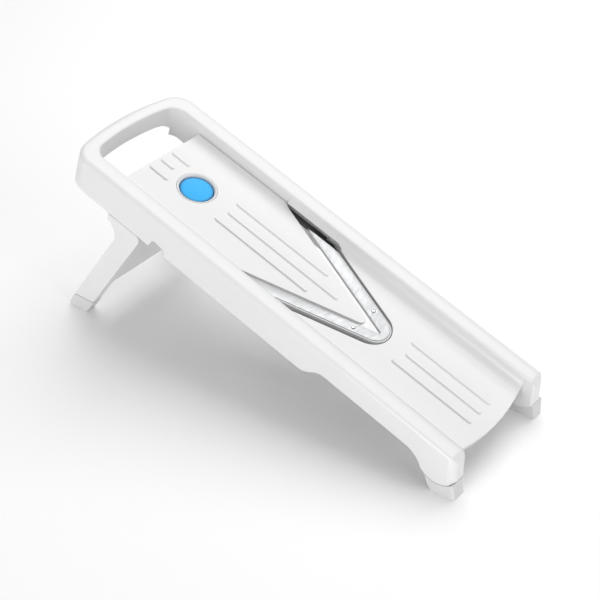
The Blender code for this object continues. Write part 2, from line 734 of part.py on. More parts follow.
def make_cup(material, runway):
    """Cup under the runway plate that guides the button and holds the spring's foot."""
    inner = BUTTON_RADIUS + 0.0006
    profile = [(0.0034, -0.0106), (0.0164, -0.0106), (0.0164, -0.0060), (0.0196, -0.0060),
               (0.0196, -0.0048), (inner, -0.0048), (inner, -0.0094), (0.0034, -0.0094)]
    cup = upright_ring("spring_cup", BUTTON_STATION, profile, material, runway, 32)
    for i, (s, y) in enumerate(cup_screw_places()):
        ear = [(0.0038, -0.0060), (0.0038, -0.0048)]
        weld_on(cup, upright_turning("ear_%d" % i, s, y, ear, None, runway, 12))
    cut(cup, make_screw_holes("ear_holes", cup_screw_places(), -0.0070, -0.0040, runway))
    return cup


def make_spring(material, runway):
    """Coil spring between the cup's floor and the button's cap."""
    mean_radius = 0.0050
    wire_radius = 0.00035
    turns = 3
    steps = turns * 16
    low = -0.0094 + GAP + wire_radius
    high = -0.0055 - GAP - wire_radius
    rings = []
    for i in range(steps + 1):
        angle = 2 * math.pi * turns * i / steps
        outward = Vector((math.cos(angle), math.sin(angle), 0.0))
        centre = Vector((-BUTTON_STATION, 0.0, low + (high - low) * i / steps))
        centre += outward * mean_radius
        ring = []
        for a, b in arc((0.0, 0.0), wire_radius, 0, 360, 6)[:-1]:
            ring.append(centre + outward * a + Vector((0.0, 0.0, b)))
        rings.append(ring)
    return make_solid("button_spring", rings, material, runway)


def make_brake_foot(material, button):
    """Foot on the stem's end, drawn up against the brake strip by the spring."""
    top = STRIP_TOP - STRIP_THICKNESS - GAP
    profile = [(0.0075, top), (0.0075, top - 0.0018), (0.0064, top - 0.0026),
               (0.0014, top - 0.0026), (0.0014, top)]
    return upright_ring("brake_foot", BUTTON_STATION, profile, material, button, 20)


def make_brake_screw(material, button):
    seat = STRIP_TOP - STRIP_THICKNESS - GAP - 0.0026
    return make_screw("brake_screw", (BUTTON_STATION, 0.0), seat, -0.0090, material, button)


def make_strip(material, slope):
    """Slotted strip under the runway that the brake foot grips."""
    outline = stadium(0.2690, 0.3560, 0.0, 0.0230, 6)
    strip = plan_prism("brake_strip", outline, STRIP_TOP - STRIP_THICKNESS, STRIP_TOP,
                       material, slope)
    slot = stadium(0.3030, 0.3360, 0.0, 0.0072, 6)
    cut(strip, plan_prism("strip_slot", slot, STRIP_TOP - 0.004, STRIP_TOP + 0.002, None, slope))
    cut(strip, make_screw_holes("strip_holes", STRIP_SCREWS, STRIP_TOP - 0.004,
                                STRIP_TOP + 0.002, slope))
    return strip


# ---------------------------------------------------------------- feet and stand

def make_front_pad(side, sign, material, slope):
    """Soft shoe on a rail's front end, with a flat sole on the floor."""
    sole = [(0.0238, 0.0041), (0.0208, 0.0), (0.0, 0.0)]
    outline = [slope_point(back, height) for back, height in pad_joint_line() + sole]
    across = sorted((sign * (HALF_WIDTH - FOOT_WIDTH), sign * HALF_WIDTH))
    pad = side_prism("front_foot_pad_" + side, outline, *across, material, slope)
    cutter = make_front_cutter("pad_corners_" + side, -0.0002, PAD_CORNER, PAD_CORNER, slope)
    boolean(pad, cutter, "INTERSECT")
    return pad


def leg_outline():
    """Side view of a leg: round hub in front, heel stop behind, cut level near the floor."""
    hub_radius = LEG_FRONT - 0.0003
    front_angle = 180 + math.degrees(LEG_LEAN)
    hub = arc((PIVOT_STATION, PIVOT_HEIGHT), hub_radius, front_angle, 90, 6)
    heel_top = PIVOT_HEIGHT + hub_radius
    heel_corner = (0.3510, -0.0263)
    back_start = leg_point(0.0205, LEG_DEPTH - LEG_FRONT)
    heel = [(0.3510, heel_top)] + curve(heel_corner, (0.3415, -0.0285), back_start, 5)
    foot = [slope_point(leg_line_back(LEG_DEPTH - LEG_FRONT, LEG_END_HEIGHT), LEG_END_HEIGHT),
            slope_point(leg_line_back(-hub_radius, LEG_END_HEIGHT), LEG_END_HEIGHT)]
    return hub + heel + foot


def panel_outline():
    """Side view of the panel between the legs, with a lip along its top and bottom."""
    front = -LEG_FRONT + 0.0020
    back = front + 0.0028
    lip_back = front + 0.0078
    lip = 0.0024
    start = 0.0082
    corners = [(start, front), (PANEL_END, front), (PANEL_END, lip_back),
               (PANEL_END - lip, lip_back), (PANEL_END - lip, back), (start + lip, back),
               (start + lip, lip_back), (start, lip_back)]
    return [leg_point(along, behind) for along, behind in corners]


def make_stand(material, stand):
    inner = HALF_WIDTH - LEG_WIDTH
    made = side_prism("stand_frame", leg_outline(), -HALF_WIDTH, -inner, material, stand)
    weld_on(made, side_prism("far_leg", leg_outline(), inner, HALF_WIDTH, None, stand))
    reach = inner + 0.0010
    weld_on(made, side_prism("stand_panel", panel_outline(), -reach, reach, None, stand))
    for side, sign in SIDES.items():
        across = sorted((sign * 0.0520, sign * 0.0618))
        cut(made, pivot_turning("leg_bore_" + side, PIN_RADIUS + GAP, *across, None, stand))
    return made


def make_stand_pad(side, sign, material, stand):
    """Soft shoe on a leg's lower end, with a flat sole on the floor."""
    top = LEG_END_HEIGHT - GAP
    depth = LEG_DEPTH - LEG_FRONT
    upright = [(leg_line_back(depth, top), top), (leg_line_back(depth, 0.0030) - 0.0006, 0.0030),
               (leg_line_back(depth, 0.0) - 0.0030, 0.0), (leg_line_back(-LEG_FRONT, 0.0), 0.0),
               (leg_line_back(-LEG_FRONT, 0.0045), 0.0045), (leg_line_back(-LEG_FRONT, top), top)]
    outline = [slope_point(back, height) for back, height in upright]
    across = sorted((sign * (HALF_WIDTH - LEG_WIDTH), sign * HALF_WIDTH))
    return side_prism("stand_foot_pad_" + side, outline, *across, material, stand)


def make_pin(side, sign, material, slope):
    across = sorted((sign * 0.0494, sign * 0.0614))
    return pivot_turning("stand_pin_" + side, PIN_RADIUS, *across, material, slope)


# ---------------------------------------------------------------- assembly

def build_slicer():
    clear_scene()
    white = make_material("white_abs", (0.86, 0.87, 0.87), 0.32)
    blue = make_material("blue_abs", (0.02, 0.42, 0.90), 0.30)
    grey = make_material("grey_rubber", (0.60, 0.61, 0.62), 0.60)
    dark = make_material("black_nylon", (0.03, 0.03, 0.035), 0.50)
    steel = make_material("stainless_steel", (0.78, 0.79, 0.80), 0.22, 1.0)

    slope = make_empty("slope", (FRONT_FROM_MIDDLE, 0.0, DATUM_HEIGHT))
    slope.rotation_euler = (0.0, TILT, 0.0)
    runway = make_empty("runway_slide", (-BUTTON_STATION, 0.0, 0.0), slope)
    button = make_empty("button_press", (-BUTTON_STATION, 0.0, 0.0), slope)
    stand = make_empty("stand_fold", (-PIVOT_STATION, 0.0, PIVOT_HEIGHT), slope)

    make_frame(white, slope)
    make_tray(dark, slope)
    make_carrier(white, slope)
    make_blade(steel, slope)
    make_rivets(steel, slope)
    tray_seat = -DECK_THICKNESS - GAP - TRAY_THICKNESS
    make_screws("tray_screw", DECK_SCREWS + CARRIER_SCREWS, tray_seat, -0.0012, steel, slope)
    make_strip(steel, slope)
    make_screws("strip_screw", STRIP_SCREWS, STRIP_TOP - STRIP_THICKNESS, -0.0096, steel, slope)

    make_runway(white, runway)
    make_bezel(white, runway)
    make_cup(dark, runway)
    make_spring(steel, runway)
    make_screws("cup_screw", cup_screw_places(), -0.0060, -0.0014, steel, runway)
    make_button(blue, button)
    make_brake_foot(grey, button)
    make_brake_screw(steel, button)

    make_stand(white, stand)
    for side, sign in SIDES.items():
        make_front_pad(side, sign, grey, slope)
        make_stand_pad(side, sign, grey, stand)
        make_pin(side, sign, steel, slope)


build_slicer()
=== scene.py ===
"""Looks of a white V-blade mandoline slicer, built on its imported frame.

Every piece is a finished version of a frame node: the shells are rounded along their edges,
the turned pieces are turned again with fine steps, and geometry nodes make the fasteners and
the spring. Lengths are in metres in the frame's own axes: +X down the slope, +Z up.
"""

import json
import logging
import math
from dataclasses import dataclass
from enum import Enum

import bmesh
import bpy
from mathutils import Matrix
from mathutils import Vector

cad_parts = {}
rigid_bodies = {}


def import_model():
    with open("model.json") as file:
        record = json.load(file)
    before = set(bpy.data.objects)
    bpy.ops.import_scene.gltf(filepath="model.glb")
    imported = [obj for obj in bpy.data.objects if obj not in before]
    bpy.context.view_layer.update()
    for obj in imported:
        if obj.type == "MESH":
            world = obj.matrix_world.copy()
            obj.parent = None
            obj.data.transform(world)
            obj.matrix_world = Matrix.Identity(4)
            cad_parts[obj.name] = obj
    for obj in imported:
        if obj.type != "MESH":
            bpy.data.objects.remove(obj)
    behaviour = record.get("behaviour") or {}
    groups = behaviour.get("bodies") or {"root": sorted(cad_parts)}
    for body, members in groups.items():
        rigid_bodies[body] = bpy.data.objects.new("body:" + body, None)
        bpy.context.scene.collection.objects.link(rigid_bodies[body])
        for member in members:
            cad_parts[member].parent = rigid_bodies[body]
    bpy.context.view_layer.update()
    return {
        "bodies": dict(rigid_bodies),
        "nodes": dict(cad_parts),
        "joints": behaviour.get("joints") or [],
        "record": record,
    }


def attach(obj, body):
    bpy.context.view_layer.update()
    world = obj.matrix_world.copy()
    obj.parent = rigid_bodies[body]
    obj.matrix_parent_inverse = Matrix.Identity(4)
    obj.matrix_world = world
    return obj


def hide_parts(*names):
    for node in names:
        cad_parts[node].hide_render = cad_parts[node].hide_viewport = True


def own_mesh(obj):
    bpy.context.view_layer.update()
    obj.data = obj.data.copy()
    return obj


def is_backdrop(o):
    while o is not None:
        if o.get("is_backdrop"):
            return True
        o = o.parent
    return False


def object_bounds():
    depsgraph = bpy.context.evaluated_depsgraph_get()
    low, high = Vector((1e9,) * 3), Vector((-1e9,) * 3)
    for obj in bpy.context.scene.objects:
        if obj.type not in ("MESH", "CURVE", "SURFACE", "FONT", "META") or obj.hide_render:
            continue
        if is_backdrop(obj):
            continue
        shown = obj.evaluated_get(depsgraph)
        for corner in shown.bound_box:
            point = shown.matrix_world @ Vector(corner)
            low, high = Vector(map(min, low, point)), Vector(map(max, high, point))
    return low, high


LOG = logging.getLogger("slicer")
MM = 0.001


class Body(Enum):
    """Bodies of the frame that pieces ride on."""

    FRAME = "frame"
    RUNWAY = "runway"
    BUTTON = "button"
    STAND = "stand"


class Slot(Enum):
    """Material slots of the record."""

    WHITE = "white_plastic"
    BLUE = "blue_plastic"
    RUBBER = "grey_rubber"
    BLACK = "black_plastic"
    STEEL = "stainless_steel"


class HeadKind(Enum):
    """Kinds of fastener head."""

    CROSS_RECESS = "cross_recess"
    DOMED = "domed"


# ---------------------------------------------------------------- nodes and colours

def linear(hex_colour: str) -> tuple[float, float, float, float]:
    """Turn an sRGB hex colour into linear values.

    Args:
        hex_colour: six hex digits, such as "F4F5F5".

    Returns:
        Red, green, blue and an alpha of 1.
    """
    channels = []
    for start in (0, 2, 4):
        value = int(hex_colour[start:start + 2], 16) / 255
        channels.append(value / 12.92 if value <= 0.04045 else ((value + 0.055) / 1.055) ** 2.4)
    return (*channels, 1.0)


def add_node(tree: bpy.types.NodeTree, kind: str, sockets: dict | None = None,
             links: dict | None = None, **settings: object) -> bpy.types.Node:
    """Add a node with its settings, socket values and incoming links.

    Args:
        tree: tree that gets the node.
        kind: Blender's name of the node type.
        sockets: values by input name or index.
        links: output sockets by input name or index.
        settings: the node's own properties.

    Returns:
        The new node.
    """
    node = tree.nodes.new(kind)
    for key, value in settings.items():
        setattr(node, key, value)
    for key, value in (sockets or {}).items():
        node.inputs[key].default_value = value
    for key, output in (links or {}).items():
        tree.links.new(output, node.inputs[key])
    return node


def start_material(name: str) -> tuple[bpy.types.Material, bpy.types.Node, bpy.types.NodeSocket]:
    """Make an empty material with a shader, and the coordinates that its patterns use.

    Args:
        name: name of the material.

    Returns:
        The material, its Principled shader and the object coordinates.
    """
    material = bpy.data.materials.new(name)
    material.use_nodes = True
    shader = material.node_tree.nodes["Principled BSDF"]
    place = add_node(material.node_tree, "ShaderNodeTexCoord")
    return material, shader, place.outputs["Object"]


# ---------------------------------------------------------------- finishes

@dataclass(frozen=True)
class MouldedPlastic:
    """Injection-moulded plastic or rubber: a fine mould grain, faint flow clouds and scuffs."""

    name: str
    colour: str
    cloud_colour: str
    roughness: float
    scuffed_roughness: float
    ior: float
    grain_mm: float
    grain_depth_mm: float
    cloud_mm: float = 45.0
    scuff_mm: float = 9.0
    subsurface: float = 0.0
    subsurface_mm: float = 1.5

    def build(self) -> bpy.types.Material:
        """Make the material.

        Returns:
            The finished material.
        """
        material, shader, place = start_material(self.name)
        tree = material.node_tree
        cloud = add_node(tree, "ShaderNodeTexNoise",
                         {"Scale": 1 / (self.cloud_mm * MM), "Detail": 3.0, "Roughness": 0.5},
                         {"Vector": place})
        tint = add_node(tree, "ShaderNodeMix", data_type="RGBA")
        set_colour_mix(tree, tint, self.colour, self.cloud_colour, cloud.outputs["Fac"])
        scuff = add_node(tree, "ShaderNodeTexNoise",
                         {"Scale": 1 / (self.scuff_mm * MM), "Detail": 6.0, "Roughness": 0.65,
                          "Distortion": 0.6}, {"Vector": place})
        gloss = add_node(tree, "ShaderNodeMapRange",
                         {"From Min": 0.35, "From Max": 0.70, "To Min": self.roughness,
                          "To Max": self.scuffed_roughness}, {"Value": scuff.outputs["Fac"]})
        grain = add_node(tree, "ShaderNodeTexNoise",
                         {"Scale": 1 / (self.grain_mm * MM), "Detail": 4.0, "Roughness": 0.6},
                         {"Vector": place})
        bump = add_node(tree, "ShaderNodeBump",
                        {"Strength": 0.6, "Distance": self.grain_depth_mm * MM},
                        {"Height": grain.outputs["Fac"]})
        tree.links.new(gloss.outputs["Result"], shader.inputs["Roughness"])
        tree.links.new(bump.outputs["Normal"], shader.inputs["Normal"])
        tree.links.new(tint.outputs[2], shader.inputs["Base Color"])
        shader.inputs["IOR"].default_value = self.ior
        shader.inputs["Subsurface Weight"].default_value = self.subsurface
        shader.inputs["Subsurface Radius"].default_value = (1.0, 0.95, 0.9)
        shader.inputs["Subsurface Scale"].default_value = self.subsurface_mm * MM
        return material


def set_colour_mix(tree: bpy.types.NodeTree, mix: bpy.types.Node, first: str, second: str,
                   factor: bpy.types.NodeSocket) -> None:
    """Give a colour Mix node its two colours and its factor.

    Args:
        tree: tree that holds the node.
        mix: Mix node whose data type is RGBA.
        first: hex colour at factor 0.
        second: hex colour at factor 1.
        factor: output that drives the mix.
    """
    colours = [socket for socket in mix.inputs if socket.type == "RGBA"]
    colours[0].default_value = linear(first)
    colours[1].default_value = linear(second)
    tree.links.new(factor, mix.inputs[0])


@dataclass(frozen=True)
class PolishedButton:
    """Glossy blue ABS, dyed in the mass, with painted shade that darkens it towards its rim."""

    name: str
    colour: str
    rim_shade_colour: str
    centre: Vector
    lean: float
    shade_start_radius: float
    shade_full_radius: float
    smudge_mm: float = 6.0
    roughness: float = 0.20
    smudged_roughness: float = 0.30
    ior: float = 1.46
    specular: float = 0.30

    def build(self) -> bpy.types.Material:
        """Make the material.

        Returns:
            The finished material.
        """
        material, shader, place = start_material(self.name)
        tree = material.node_tree
        local = add_node(tree, "ShaderNodeMapping",
                         {"Location": self.centre, "Rotation": (0.0, self.lean, 0.0)},
                         {"Vector": place}, vector_type="TEXTURE")
        level = add_node(tree, "ShaderNodeVectorMath", {1: (1.0, 1.0, 0.0)},
                         {0: local.outputs["Vector"]}, operation="MULTIPLY")
        radius = add_node(tree, "ShaderNodeVectorMath", None, {0: level.outputs["Vector"]},
                          operation="LENGTH")
        # painted shade: the blue darkens towards the button's edge, standing in for the shade of
        # the gap and falloff at its edge
        rim = add_node(tree, "ShaderNodeMapRange",
                       {"From Min": self.shade_start_radius, "From Max": self.shade_full_radius},
                       {"Value": radius.outputs["Value"]}, interpolation_type="SMOOTHSTEP")
        tint = add_node(tree, "ShaderNodeMix", data_type="RGBA")
        set_colour_mix(tree, tint, self.colour, self.rim_shade_colour, rim.outputs["Result"])
        smudge = add_node(tree, "ShaderNodeTexNoise",
                          {"Scale": 1 / (self.smudge_mm * MM), "Detail": 5.0},
                          {"Vector": place})
        gloss = add_node(tree, "ShaderNodeMapRange",
                         {"From Min": 0.3, "From Max": 0.7, "To Min": self.roughness,
                          "To Max": self.smudged_roughness}, {"Value": smudge.outputs["Fac"]})
        tree.links.new(tint.outputs[2], shader.inputs["Base Color"])
        tree.links.new(gloss.outputs["Result"], shader.inputs["Roughness"])
        shader.inputs["IOR"].default_value = self.ior
        shader.inputs["Specular IOR Level"].default_value = self.specular
        return material


@dataclass(frozen=True)
class GroundSteel:
    """Stainless steel with a grinding grain that runs square to the arms of the V."""

    name: str
    colour: str
    dark_colour: str
    roughness: float
    grain_mm: float
    grain_length_mm: float
    grain_depth_mm: float
    grain_angle: float
    anisotropy: float

    def build(self) -> bpy.types.Material:
        """Make the material.

        Returns:
            The finished material.
        """
        material, shader, place = start_material(self.name)
        tree = material.node_tree
        folded = add_node(tree, "ShaderNodeSeparateXYZ", None, {0: place})
        across = add_node(tree, "ShaderNodeMath", None, {0: folded.outputs["Y"]},
                          operation="ABSOLUTE")
        halves = add_node(tree, "ShaderNodeCombineXYZ", None,
                          {"X": folded.outputs["X"], "Y": across.outputs[0],
                           "Z": folded.outputs["Z"]})
        turned_grain = add_node(tree, "ShaderNodeMapping",
                                {"Rotation": (0.0, 0.0, self.grain_angle)},
                                {"Vector": halves.outputs["Vector"]})
        stretched = add_node(tree, "ShaderNodeMapping",
                             {"Scale": (1 / (self.grain_mm * MM), 1 / (self.grain_length_mm * MM),
                                        1 / (self.grain_length_mm * MM))},
                             {"Vector": turned_grain.outputs["Vector"]})
        grain = add_node(tree, "ShaderNodeTexNoise", {"Scale": 1.0, "Detail": 5.0},
                         {"Vector": stretched.outputs["Vector"]})
        gloss = add_node(tree, "ShaderNodeMapRange",
                         {"From Min": 0.3, "From Max": 0.7, "To Min": self.roughness * 0.7,
                          "To Max": self.roughness * 1.5}, {"Value": grain.outputs["Fac"]})
        tint = add_node(tree, "ShaderNodeMix", data_type="RGBA")
        set_colour_mix(tree, tint, self.colour, self.dark_colour, grain.outputs["Fac"])
        bump = add_node(tree, "ShaderNodeBump",
                        {"Strength": 0.5, "Distance": self.grain_depth_mm * MM},
                        {"Height": grain.outputs["Fac"]})
        tree.links.new(tint.outputs[2], shader.inputs["Base Color"])
        tree.links.new(gloss.outputs["Result"], shader.inputs["Roughness"])
        tree.links.new(bump.outputs["Normal"], shader.inputs["Normal"])
        shader.inputs["Metallic"].default_value = 1.0
        shader.inputs["Anisotropic"].default_value = self.anisotropy
        return material


@dataclass(frozen=True)
class Finishes:
    """All finishes of the slicer, made once."""

    white: bpy.types.Material
    carrier: bpy.types.Material
    grey: bpy.types.Material
    black: bpy.types.Material
    blue: bpy.types.Material
    blade: bpy.types.Material
    hardware: bpy.types.Material


def make_finishes(slope: "Slope") -> Finishes:
    """Make every finish.

    Args:
        slope: the slicer's sloping frame, which places the painted shade at the button's rim.

    Returns:
        The finishes.
    """
    button = slope.box_of("release_button")
    centre = slope.to_world(Vector((button.middle.x, button.middle.y, button.high.z)))
    radius = button.size.y / 2
    return Finishes(
        # ABS moulded in a polished tool: a clean white with a soft, slightly uneven gloss
        white=MouldedPlastic("white_abs_moulded", "E2E2E2", "DFDFDF", roughness=0.30,
                             scuffed_roughness=0.36, ior=1.54, grain_mm=1.1,
                             grain_depth_mm=0.004, subsurface=0.06).build(),
        # the frame's white ABS greyed for the blade's carrier: painted shade for its walls down
        # in the slot beside the blade, a little duller than the frame
        carrier=MouldedPlastic("white_abs_painted_slot_shade", "CFCFCF", "CBCBCB", roughness=0.36,
                               scuffed_roughness=0.44, ior=1.54, grain_mm=0.8,
                               grain_depth_mm=0.004).build(),
        # thermoplastic rubber moulded in an etched tool: a dull light grey with a fine tooth
        grey=MouldedPlastic("grey_rubber_moulded", "D6D6D6", "D0D0D0", roughness=0.52,
                            scuffed_roughness=0.66, ior=1.50, grain_mm=0.6,
                            grain_depth_mm=0.03).build(),
        # charcoal nylon moulded in an etched tool, dark and matte; under the V its dark is partly
        # a dark part and partly painted shade for the slits around the blade
        black=MouldedPlastic("charcoal_nylon_and_slit_shade", "3E3F40", "454647", roughness=0.48,
                             scuffed_roughness=0.62, ior=1.53, grain_mm=0.5,
                             grain_depth_mm=0.03).build(),
        # ABS dyed blue and moulded in a polished tool: even and glossy, with painted shade
        # darkening it at its rim
        blue=PolishedButton("blue_abs_polished", "00AEF2", "0A6FA8", centre, slope.lean,
                            shade_start_radius=radius * 0.80, shade_full_radius=radius).build(),
        # cold-rolled strip, ground across the edge: pale and matte, with a fine streaky grain
        blade=GroundSteel("stainless_strip_ground", "C6C7C8", "BBBCBD", roughness=0.50,
                          grain_mm=0.25, grain_length_mm=9.0, grain_depth_mm=0.003,
                          grain_angle=math.radians(-20), anisotropy=0.4).build(),
        # cold-headed stainless wire and screws: even, softly bright
        hardware=GroundSteel("stainless_cold_headed", "CDD0D3", "A9AEB2", roughness=0.30,
                             grain_mm=0.8, grain_length_mm=0.8, grain_depth_mm=0.003,
                             grain_angle=0.0, anisotropy=0.0).build())


# ---------------------------------------------------------------- the sloping frame

@dataclass(frozen=True)
class SlopeBox:
    """Box of a node, square to the deck."""

    low: Vector
    high: Vector

    @property
    def middle(self) -> Vector:
        """Centre of the box."""
        return (self.low + self.high) / 2

    @property
    def size(self) -> Vector:
        """Extent of the box along each axis."""
        return self.high - self.low


class Slope:
    """Axes that lie on the deck: X down the slope, Y across and Z square to the deck."""

    def __init__(self, frame: dict) -> None:
        """Read the slope from the runway's joint.

        Args:
            frame: the loaded frame.
        """
        uphill = next(Vector(joint["axis"]) for joint in frame["joints"]
                      if joint["name"] == "runway_slide")
        self.nodes = frame["nodes"]
        self.lean = math.atan2(uphill.z, -uphill.x)
        self.turn = Matrix.Rotation(self.lean, 4, "Y")

    def to_world(self, point: Vector) -> Vector:
        """Turn a point on the deck's axes into the frame's own axes.

        Args:
            point: point on the deck's axes.

        Returns:
            The same point in the frame's own axes.
        """
        return self.turn @ point

    def box_of(self, node: str) -> SlopeBox:
        """Measure a node along the deck's axes.

        Args:
            node: name of the node.

        Returns:
            The node's box.
        """
        back = self.turn.inverted()
        points = [back @ vertex.co for vertex in self.nodes[node].data.vertices]
        low = Vector(min(point[axis] for point in points) for axis in range(3))
        high = Vector(max(point[axis] for point in points) for axis in range(3))
        return SlopeBox(low, high)


# ---------------------------------------------------------------- mesh work

def link_piece(name: str, mesh: bpy.types.Mesh) -> bpy.types.Object:
    """Put a mesh into the scene as an object at the origin.

    Args:
        name: name of the mesh and of the object.
        mesh: the shape.

    Returns:
        The new object.
    """
    mesh.name = name
    piece = bpy.data.objects.new(name, mesh)
    bpy.context.scene.collection.objects.link(piece)
    return piece


def settle(piece: bpy.types.Object) -> bpy.types.Object:
    """Turn a piece's modifiers into plain mesh.

    Args:
        piece: object with modifiers.

    Returns:
        The same object, with the evaluated mesh and no modifiers.
    """
    graph = bpy.context.evaluated_depsgraph_get()
    evaluated = piece.evaluated_get(graph)
    mesh = bpy.data.meshes.new_from_object(evaluated, preserve_all_data_layers=True,
                                           depsgraph=graph)
    mesh.name = piece.name
    piece.modifiers.clear()
    piece.data = mesh
    return piece


def smooth_by_area(piece: bpy.types.Object) -> None:
    """Shade a piece smooth, with flat faces kept flat by weighting normals by area.

    Args:
        piece: mesh object that gets the modifier.
    """
    piece.data.shade_smooth()
    weighting = piece.modifiers.new("area_weighting", "WEIGHTED_NORMAL")
    weighting.mode = "FACE_AREA_WITH_ANGLE"
    weighting.weight = 60


def round_edges(piece: bpy.types.Object, radius: float, sharper_than: float = 35.0) -> None:
    """Round a piece's edges, as a mould does, and shade it smooth.

    Args:
        piece: closed mesh object.
        radius: radius of the rounding.
        sharper_than: angle in degrees above which an edge is rounded.
    """
    bevel = piece.modifiers.new("mould_radius", "BEVEL")
    bevel.width = radius
    bevel.segments = 3
    bevel.limit_method = "ANGLE"
    bevel.angle_limit = math.radians(sharper_than)
    bevel.use_clamp_overlap = False
    smooth_by_area(piece)
    settle(piece)


def merged_copy(node: bpy.types.Object, name: str) -> bpy.types.Object:
    """Copy a node's shape as a clean mesh: corners merged and flat faces made whole.

    Args:
        node: the frame's own object, which is left alone.
        name: name of the new piece.

    Returns:
        The new piece.
    """
    shape = bmesh.new()
    shape.from_mesh(node.data)
    bmesh.ops.remove_doubles(shape, verts=shape.verts, dist=0.002 * MM)
    bmesh.ops.dissolve_limit(shape, angle_limit=math.radians(0.5), verts=shape.verts,
                             edges=shape.edges)
    mesh = bpy.data.meshes.new(name)
    shape.to_mesh(mesh)
    shape.free()
    return link_piece(name, mesh)


def turned(name: str, profile: list[tuple[float, float]], slope: Slope, axis_point: Vector,
           closed: bool, steps: int = 96) -> bpy.types.Object:
    """Turn a profile round an axis that stands square to the deck.

    Args:
        name: name of the piece.
        profile: (radius, height) points on the deck's axes.
        slope: the deck's axes.
        axis_point: any point on the axis, on the deck's axes.
        closed: True for a ring whose profile closes on itself.
        steps: number of steps round the axis.

    Returns:
        The turned piece.
    """
    shape = bmesh.new()
    columns = []
    for step in range(steps):
        angle = 2 * math.pi * step / steps
        columns.append([shape.verts.new(slope.to_world(Vector((
            axis_point.x + radius * math.cos(angle),
            axis_point.y + radius * math.sin(angle), height)))) for radius, height in profile])
    count = len(profile)
    for step in range(steps):
        here, there = columns[step], columns[(step + 1) % steps]
        for i in range(count if closed else count - 1):
            j = (i + 1) % count
            shape.faces.new((here[i], there[i], there[j], here[j]))
    if not closed:
        shape.faces.new([column[0] for column in columns])
        shape.faces.new([column[-1] for column in columns])
    bmesh.ops.recalc_face_normals(shape, faces=shape.faces)
    mesh = bpy.data.meshes.new(name)
    shape.to_mesh(mesh)
    shape.free()
    return link_piece(name, mesh)


def finish_piece(piece: bpy.types.Object, material: bpy.types.Material, body: Body,
                 nodes: list[str]) -> bpy.types.Object:
    """Dress a piece and tie it to the frame.

    Args:
        piece: the finished mesh object.
        material: its material.
        body: the body that it rides on.
        nodes: the nodes that it stands for.

    Returns:
        The same piece.
    """
    piece.data.materials.clear()
    piece.data.materials.append(material)
    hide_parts(*nodes)
    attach(piece, body.value)
    LOG.info("%s: %d faces, on %s", piece.name, len(piece.data.polygons), body.value)
    return piece


# ---------------------------------------------------------------- geometry nodes

class RepeatTree:
    """A geometry node tree with named inputs, made in the script."""

    def __init__(self, name: str) -> None:
        """Start a tree that takes and gives geometry."""
        self.tree = bpy.data.node_groups.new(name, "GeometryNodeTree")
        self.tree.is_modifier = True
        self.tree.interface.new_socket("Places", in_out="INPUT",
                                       socket_type="NodeSocketGeometry")
        self.tree.interface.new_socket("Pieces", in_out="OUTPUT",
                                       socket_type="NodeSocketGeometry")
        self.identifiers: dict[str, str] = {}
        self.values: dict[str, object] = {}
        self.source = self.tree.nodes.new("NodeGroupInput")

    def ask(self, name: str, value: object, kind: str = "NodeSocketFloat") -> None:
        """Add a named input and remember its value.

        Args:
            name: name of the input.
            value: value that the modifier gets.
            kind: Blender's name of the socket type.
        """
        socket = self.tree.interface.new_socket(name, in_out="INPUT", socket_type=kind)
        self.identifiers[name] = socket.identifier
        self.values[name] = value

    def given(self, name: str) -> bpy.types.NodeSocket:
        """Find the output socket of a named input.

        Args:
            name: name that the input was asked for by.

        Returns:
            The socket that gives the input's value inside the tree.
        """
        return self.source.outputs[name]

    def add(self, kind: str, sockets: dict | None = None, links: dict | None = None,
            **settings: object) -> bpy.types.Node:
        """Add a node to the tree; see add_node."""
        return add_node(self.tree, kind, sockets, links, **settings)

    def end(self, geometry: bpy.types.NodeSocket) -> None:
        """Close the tree: realize the instances and set the material.

        Args:
            geometry: what the tree has made.
        """
        real = self.add("GeometryNodeRealizeInstances", None, {"Geometry": geometry})
        dressed = self.add("GeometryNodeSetMaterial", None,
                           {"Geometry": real.outputs[0], "Material": self.given("Finish")})
        self.add("NodeGroupOutput", None, {"Pieces": dressed.outputs[0]})

    def run(self, name: str, places: list[Vector]) -> bpy.types.Object:
        """Run the tree on some places and keep the result as a plain mesh.

        Args:
            name: name of the piece.
            places: points in the frame's own axes.

        Returns:
            The new piece.
        """
        mesh = bpy.data.meshes.new(name)
        mesh.from_pydata([tuple(place) for place in places], [], [])
        piece = link_piece(name, mesh)
        modifier = piece.modifiers.new("repeat", "NODES")
        modifier.node_group = self.tree
        for key, identifier in self.identifiers.items():
            modifier[identifier] = self.values[key]
        return settle(piece)


